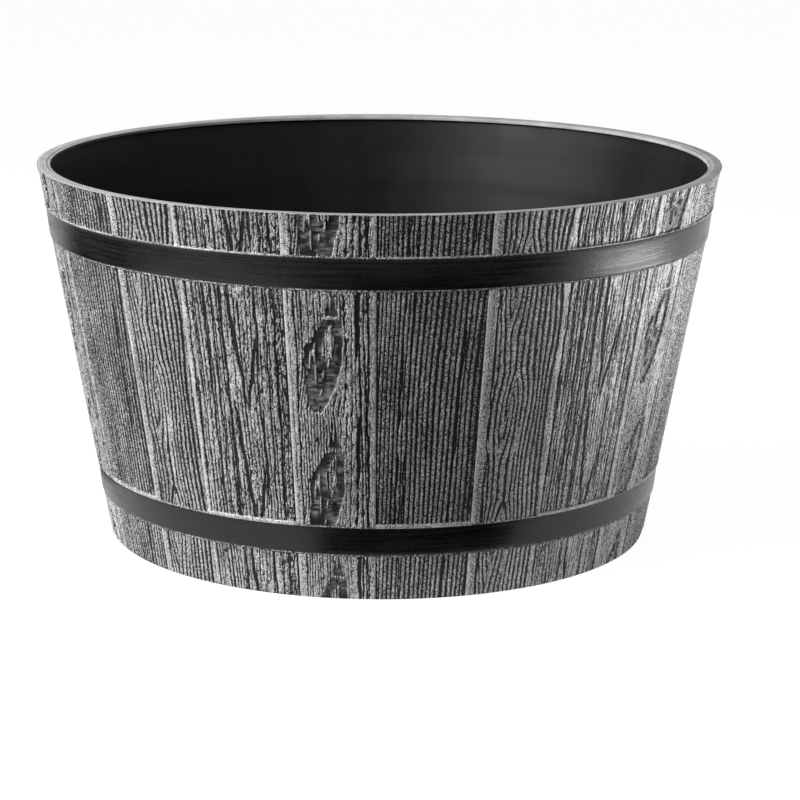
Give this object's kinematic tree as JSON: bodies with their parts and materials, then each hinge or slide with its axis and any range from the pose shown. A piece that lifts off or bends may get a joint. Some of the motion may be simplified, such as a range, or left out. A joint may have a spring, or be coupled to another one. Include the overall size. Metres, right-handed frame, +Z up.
{
  "type": "flower pot",
  "caption": "Round tapered planter shaped like a cut-down barrel: moulded stave tub with flat rim, black hoops and lift-out drain plugs in the floor.",
  "frame": {"origin": "centre of the face that the pot stands on", "axes": "+Z up along the pot's axis, -Y towards the side that the picture shows"},
  "size_m": [0.4, 0.4, 0.22],
  "materials": {
    "wood_grain_paint": "black moulded plastic with wood grain, its ridges dry-brushed in silver grey",
    "satin_black": "smooth satin black moulded plastic",
    "soft_rubber": "matt black rubber"
  },
  "bodies": {
    "tub": {"barrel_tub": "wood_grain_paint", "upper_hoop": "satin_black", "lower_hoop": "satin_black"},
    "plug_1": {"drain_plug_1": "soft_rubber"},
    "plug_2": {"drain_plug_2": "soft_rubber"},
    "plug_3": {"drain_plug_3": "soft_rubber"},
    "plug_4": {"drain_plug_4": "soft_rubber"}
  },
  "joints": [
    {"name": "plug_1_lift", "type": "slide", "parent": "tub", "child": "plug_1", "axis": [0, 0, 1], "range_m": [0, 0.04]},
    {"name": "plug_2_lift", "type": "slide", "parent": "tub", "child": "plug_2", "axis": [0, 0, 1], "range_m": [0, 0.04]},
    {"name": "plug_3_lift", "type": "slide", "parent": "tub", "child": "plug_3", "axis": [0, 0, 1], "range_m": [0, 0.04]},
    {"name": "plug_4_lift", "type": "slide", "parent": "tub", "child": "plug_4", "axis": [0, 0, 1], "range_m": [0, 0.04]}
  ]
}
